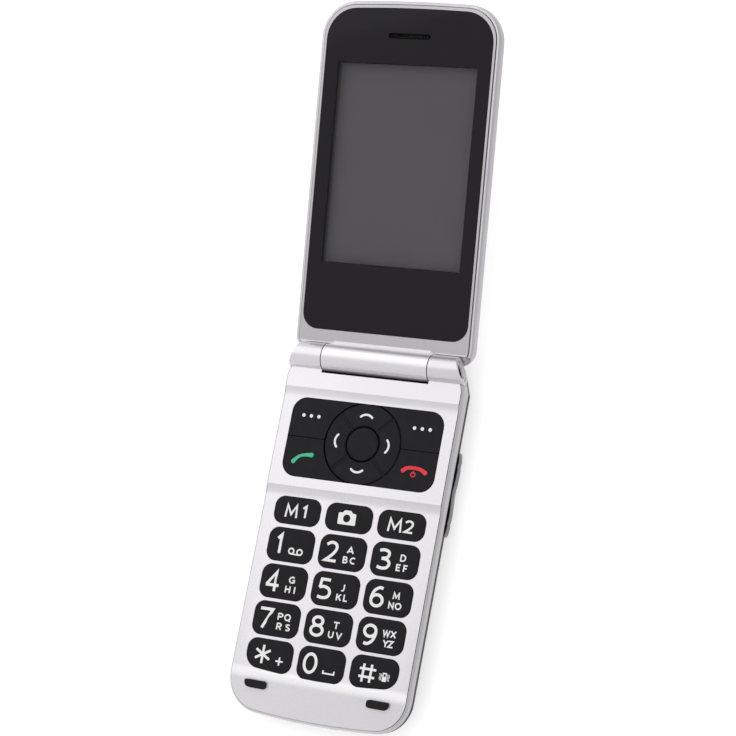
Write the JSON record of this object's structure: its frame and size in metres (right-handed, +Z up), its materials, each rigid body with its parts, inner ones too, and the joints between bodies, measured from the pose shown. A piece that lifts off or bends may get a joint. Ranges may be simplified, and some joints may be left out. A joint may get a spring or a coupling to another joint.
{
  "type": "flip phone",
  "caption": "Folding mobile phone, open on its back: stepped silver keypad half with raised black keys and navigation ring, barrel hinge, and a lid with a rounded display window.",
  "frame": {"origin": "centre of the base half's flat back face, which lies on the table", "axes": "+X to the right across the keypad, +Y along the base towards the hinge, +Z up out of the keypad"},
  "size_m": [0.0561, 0.2058, 0.0337],
  "materials": {
    "silver_case": "silver-white paint on plastic, satin",
    "black_case": "fine matt grain",
    "black_rubber": "matt",
    "battery_label": "plain foil",
    "circuit_board": "satin solder mask",
    "steel": "satin",
    "gold_copper": "satin plating",
    "window_glass": "polished",
    "mask_black": "printed film",
    "screen": "switched-off display",
    "mesh_grey": "fine mesh",
    "lens_glass": "polished",
    "rocker_silver": "satin silver paint",
    "key_black": "satin"
  },
  "bodies": {
    "base": {"front_plate": "silver_case", "side_frame": "silver_case", "rear_shell": "black_case", "battery_cover": "black_case", "battery": "battery_label", "battery_connector": "black_case", "main_board": "circuit_board", "dome_sheet": "steel", "key_mat": "black_rubber", "loudspeaker": "steel", "vibration_motor": "steel", "microphone": "steel", "sim_holder": "steel", "usb_socket": "steel", "charge_contacts": "gold_copper", "aerial": "gold_copper", "side_switches": "steel", "case_screws": "steel", "lid_bumpers": "black_rubber", "hinge_nose": "steel", "hinge_bush": "steel", "hinge_end_caps": "silver_case"},
    "lid": {"lid_frame": "silver_case", "lid_shell": "silver_case", "window": "window_glass", "window_mask": "mask_black", "display": "screen", "lid_board": "circuit_board", "earpiece": "steel", "earpiece_mesh": "mesh_grey", "camera_module": "black_case", "camera_lens": "lens_glass", "lid_magnet": "steel", "hinge_can": "steel", "hinge_follower": "steel", "hinge_spring": "steel", "hinge_flex": "gold_copper"},
    "key_m1_body": {"key_m1": "key_black"},
    "key_camera_body": {"key_camera": "key_black"},
    "key_m2_body": {"key_m2": "key_black"},
    "key_1_body": {"key_1": "key_black"},
    "key_2_body": {"key_2": "key_black"},
    "key_3_body": {"key_3": "key_black"},
    "key_4_body": {"key_4": "key_black"},
    "key_5_body": {"key_5": "key_black"},
    "key_6_body": {"key_6": "key_black"},
    "key_7_body": {"key_7": "key_black"},
    "key_8_body": {"key_8": "key_black"},
    "key_9_body": {"key_9": "key_black"},
    "key_star_body": {"key_star": "key_black"},
    "key_0_body": {"key_0": "key_black"},
    "key_hash_body": {"key_hash": "key_black"},
    "soft_key_left_body": {"soft_key_left": "key_black"},
    "soft_key_right_body": {"soft_key_right": "key_black"},
    "call_key_body": {"call_key": "key_black"},
    "end_key_body": {"end_key": "key_black"},
    "ok_key_body": {"ok_key": "key_black"},
    "nav_ring_body": {"nav_ring": "key_black"},
    "volume_rocker_body": {"volume_rocker": "rocker_silver"}
  },
  "joints": [
    {"name": "lid_hinge", "type": "hinge", "parent": "base", "child": "lid", "pos_m": [0, 0.0512, 0.01033], "axis": [1, 0, 0], "range_deg": [0, 166.4]},
    {"name": "key_m1_press", "type": "slide", "parent": "base", "child": "key_m1_body", "axis": [0, 0, -1], "range_m": [0, 0.0003], "stiffness_N_per_m": 5000},
    {"name": "key_camera_press", "type": "slide", "parent": "base", "child": "key_camera_body", "axis": [0, 0, -1], "range_m": [0, 0.0003], "stiffness_N_per_m": 5000},
    {"name": "key_m2_press", "type": "slide", "parent": "base", "child": "key_m2_body", "axis": [0, 0, -1], "range_m": [0, 0.0003], "stiffness_N_per_m": 5000},
    {"name": "key_1_press", "type": "slide", "parent": "base", "child": "key_1_body", "axis": [0, 0, -1], "range_m": [0, 0.0003], "stiffness_N_per_m": 5000},
    {"name": "key_2_press", "type": "slide", "parent": "base", "child": "key_2_body", "axis": [0, 0, -1], "range_m": [0, 0.0003], "stiffness_N_per_m": 5000},
    {"name": "key_3_press", "type": "slide", "parent": "base", "child": "key_3_body", "axis": [0, 0, -1], "range_m": [0, 0.0003], "stiffness_N_per_m": 5000},
    {"name": "key_4_press", "type": "slide", "parent": "base", "child": "key_4_body", "axis": [0, 0, -1], "range_m": [0, 0.0003], "stiffness_N_per_m": 5000},
    {"name": "key_5_press", "type": "slide", "parent": "base", "child": "key_5_body", "axis": [0, 0, -1], "range_m": [0, 0.0003], "stiffness_N_per_m": 5000},
    {"name": "key_6_press", "type": "slide", "parent": "base", "child": "key_6_body", "axis": [0, 0, -1], "range_m": [0, 0.0003], "stiffness_N_per_m": 5000},
    {"name": "key_7_press", "type": "slide", "parent": "base", "child": "key_7_body", "axis": [0, 0, -1], "range_m": [0, 0.0003], "stiffness_N_per_m": 5000},
    {"name": "key_8_press", "type": "slide", "parent": "base", "child": "key_8_body", "axis": [0, 0, -1], "range_m": [0, 0.0003], "stiffness_N_per_m": 5000},
    {"name": "key_9_press", "type": "slide", "parent": "base", "child": "key_9_body", "axis": [0, 0, -1], "range_m": [0, 0.0003], "stiffness_N_per_m": 5000},
    {"name": "key_star_press", "type": "slide", "parent": "base", "child": "key_star_body", "axis": [0, 0, -1], "range_m": [0, 0.0003], "stiffness_N_per_m": 5000},
    {"name": "key_0_press", "type": "slide", "parent": "base", "child": "key_0_body", "axis": [0, 0, -1], "range_m": [0, 0.0003], "stiffness_N_per_m": 5000},
    {"name": "key_hash_press", "type": "slide", "parent": "base", "child": "key_hash_body", "axis": [0, 0, -1], "range_m": [0, 0.0003], "stiffness_N_per_m": 5000},
    {"name": "soft_key_left_press", "type": "slide", "parent": "base", "child": "soft_key_left_body", "axis": [0, 0, -1], "range_m": [0, 0.0003], "stiffness_N_per_m": 5000},
    {"name": "soft_key_right_press", "type": "slide", "parent": "base", "child": "soft_key_right_body", "axis": [0, 0, -1], "range_m": [0, 0.0003], "stiffness_N_per_m": 5000},
    {"name": "call_key_press", "type": "slide", "parent": "base", "child": "call_key_body", "axis": [0, 0, -1], "range_m": [0, 0.0003], "stiffness_N_per_m": 5000},
    {"name": "end_key_press", "type": "slide", "parent": "base", "child": "end_key_body", "axis": [0, 0, -1], "range_m": [0, 0.0003], "stiffness_N_per_m": 5000},
    {"name": "ok_key_press", "type": "slide", "parent": "base", "child": "ok_key_body", "axis": [0, 0, -1], "range_m": [0, 0.0003], "stiffness_N_per_m": 5000},
    {"name": "nav_ring_tilt", "type": "hinge", "parent": "base", "child": "nav_ring_body", "pos_m": [0, 0.02714, 0.0087], "axis": [1, 0, 0], "range_deg": [-1.3, 1.3], "stiffness_Nm_per_rad": 0.5},
    {"name": "volume_rocker_tilt", "type": "hinge", "parent": "base", "child": "volume_rocker_body", "pos_m": [0.02625, 0.0169, 0.00495], "axis": [0, 0, 1], "range_deg": [-1, 1], "stiffness_Nm_per_rad": 0.6}
  ]
}
